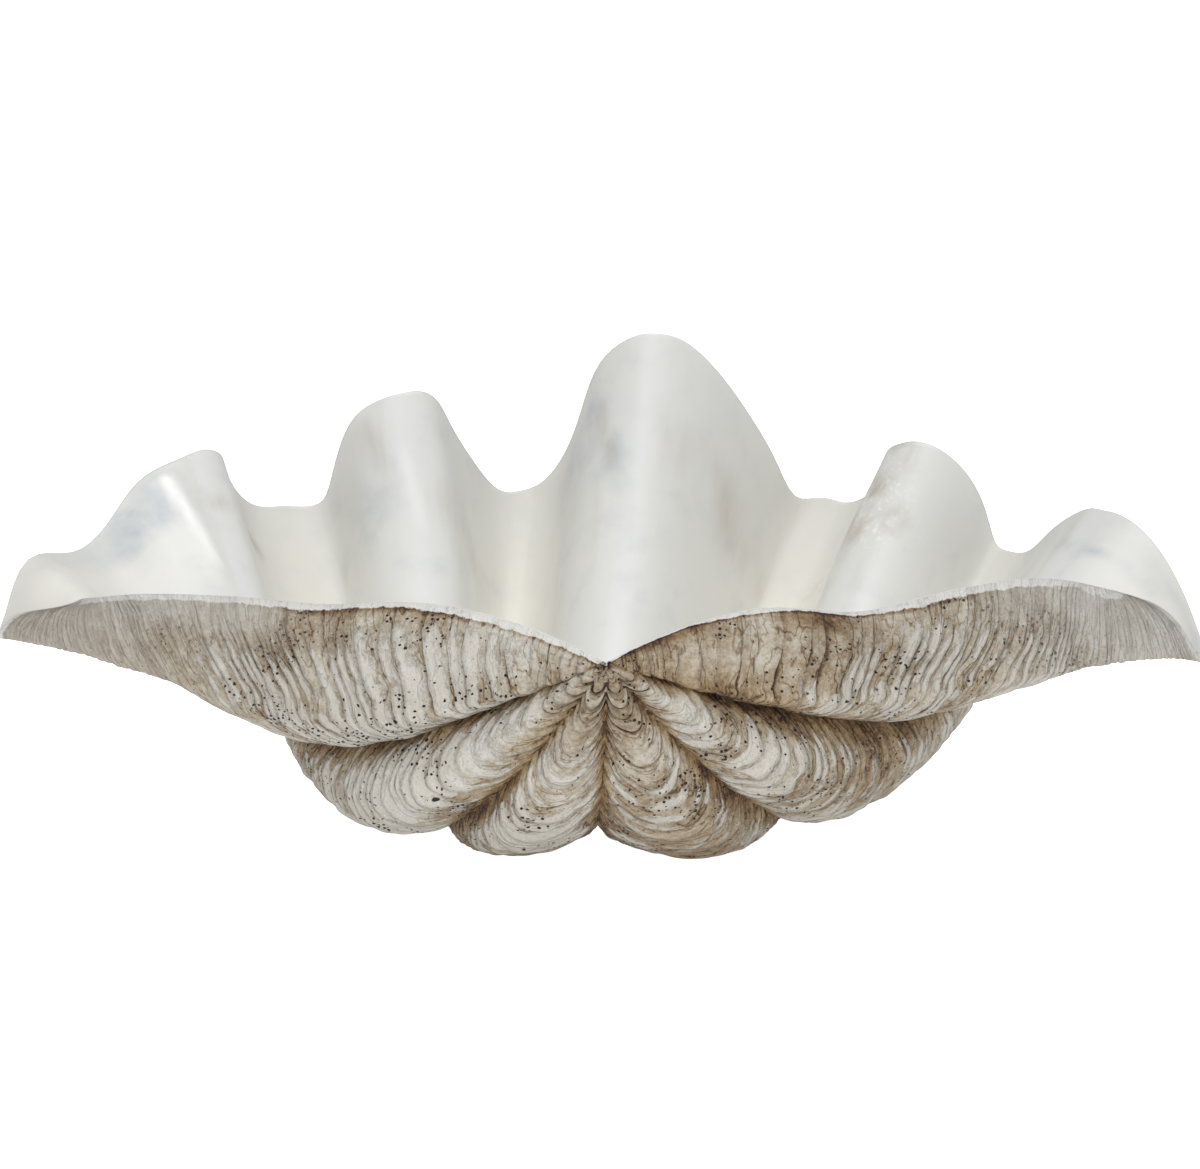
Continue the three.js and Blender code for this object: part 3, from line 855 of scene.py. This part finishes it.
# on the off-white: warmth in the valleys behind the ribs, cool swirls, brownish flow, grey towards the
# margin, and then the clouds and streaks, which are partly painted shade, the chalk, and the painted
# highlight of the strokes
tone = colour("#EAEBE9")
for share, code in [
    (height, "#EAE7DE"),
    (broken(everywhere, swirls, 0.46, 1.1), "#D0D4D4"),
    (broken(everywhere, flow, 0.5, 1.2), "#BFB3A0"),
    # greyer towards the margin
    (margin_grey_share, "#C3C4C1"),
    # blue-grey clouds, partly painted shade on the left flanks beside two ridges
    (broken(clouds_and_shade, swirls, 0.20, 0.80), "#B4BDC5"),
    # brownish streaks, partly painted shade on the flanks between the ridges
    (broken(streaks_and_shade, flow, 0.30, 0.75), "#B5AA9A"),
    (broken(chalky, grains, 0.5, 0.75), "#F4F2EA"),
    (broken(chalky, swirls, 0.40, 0.75), "#C4BCAE"),
    # the painted highlight along two ridges
    (broken(painted_highlight, flow, 0.1, 0.6), "#FCFCFA"),
]:
    tone = add(
        tree, "ShaderNodeMixRGB", {},
        {"Fac": share, "Color1": tone, "Color2": colour(code)},
    ).outputs[0]
bump = add(tree, "ShaderNodeBump", {}, {"Height": flow, "Distance": 0.002, "Strength": 0.25}).outputs[0]
satin = add(
    tree, "ShaderNodeBsdfPrincipled", {},
    {"Base Color": tone, "Roughness": 0.42, "IOR": 1.53, "Normal": bump},
).outputs[0]
add(tree, "ShaderNodeOutputMaterial", {}, {"Surface": satin})

# The stage: a plain sheet of white paper for a floor and a bright white room, as in a studio. Both light
# the shell softly, and show as pure white behind it.
FLOOR_REACH = 40
SOFT_LIGHT = 0.42


def white_light(tree):
    """The strength of a white that gives the shell SOFT_LIGHT and the camera full white."""
    seen = add(tree, "ShaderNodeLightPath").outputs["Is Camera Ray"]
    strength = {"Value": seen, "To Min": SOFT_LIGHT, "To Max": 1.0}
    return add(tree, "ShaderNodeMapRange", {}, strength).outputs[0]


floor_mesh = bpy.data.meshes.new("floor")
corners = [(x * FLOOR_REACH, y * FLOOR_REACH, 0) for x, y in ((-1, -1), (1, -1), (1, 1), (-1, 1))]
floor_mesh.from_pydata(corners, [], [(0, 1, 2, 3)])
floor = bpy.data.objects.new("floor", floor_mesh)
bpy.context.scene.collection.objects.link(floor)
paper = bpy.data.materials.new("white_paper")
paper.use_nodes = True
paper_shader = paper.node_tree.nodes["Principled BSDF"]
paper_shader.inputs["Base Color"].default_value = colour("#EEEEEE")
paper_shader.inputs["Roughness"].default_value = 0.9
paper_shader.inputs["Emission Color"].default_value = colour("#FFFFFF")
paper.node_tree.links.new(white_light(paper.node_tree), paper_shader.inputs["Emission Strength"])
floor_mesh.materials.append(paper)

world = bpy.data.worlds.new("white_room")
world.use_nodes = True
background = world.node_tree.nodes["Background"]
background.inputs["Color"].default_value = colour("#FFFFFF")
world.node_tree.links.new(white_light(world.node_tree), background.inputs["Strength"])
bpy.context.scene.world = world

# softboxes that point at the shell: name, place and width in metres, and watts
LIT_POINT = (0, 0, 0.1)
SOFTBOXES = [
    ("key_softbox", (-0.1, -1.7, 1.75), 1.2, 13),
    ("front_softbox", (0.0, -2.4, 0.3), 1.4, 14),
    ("top_softbox", (0.1, 0.2, 2.2), 1.2, 16),
]
for name, place_at, width, watts in SOFTBOXES:
    light = bpy.data.lights.new(name, "AREA")
    light.shape = "SQUARE"
    light.size = width
    light.energy = watts
    lamp = bpy.data.objects.new(name, light)
    lamp.location = place_at
    direction = np.subtract(LIT_POINT, place_at)
    lamp.rotation_euler = (
        math.atan2(math.hypot(direction[0], direction[1]), -direction[2]),
        0,
        math.atan2(direction[1], direction[0]) - math.pi / 2,
    )
    bpy.context.scene.collection.objects.link(lamp)

# The camera stands a little above the rim, 1.8 m from the middle of the shell.
CAMERA_DISTANCE = 1.806
CAMERA_ELEVATION = math.radians(11)
CAMERA_AIM = (0.0004, -0.0029, 0.130)
camera_data = bpy.data.cameras.new("camera")
camera_data.lens = 100
camera_data.sensor_width = 36
camera = bpy.data.objects.new("camera", camera_data)
camera.location = (
    CAMERA_AIM[0],
    CAMERA_AIM[1] - CAMERA_DISTANCE * math.cos(CAMERA_ELEVATION),
    CAMERA_AIM[2] + CAMERA_DISTANCE * math.sin(CAMERA_ELEVATION),
)
camera.rotation_euler = (math.pi / 2 - CAMERA_ELEVATION, 0, 0)
bpy.context.scene.collection.objects.link(camera)
bpy.context.scene.camera = camera
bpy.context.scene.view_settings.view_transform = "Standard"
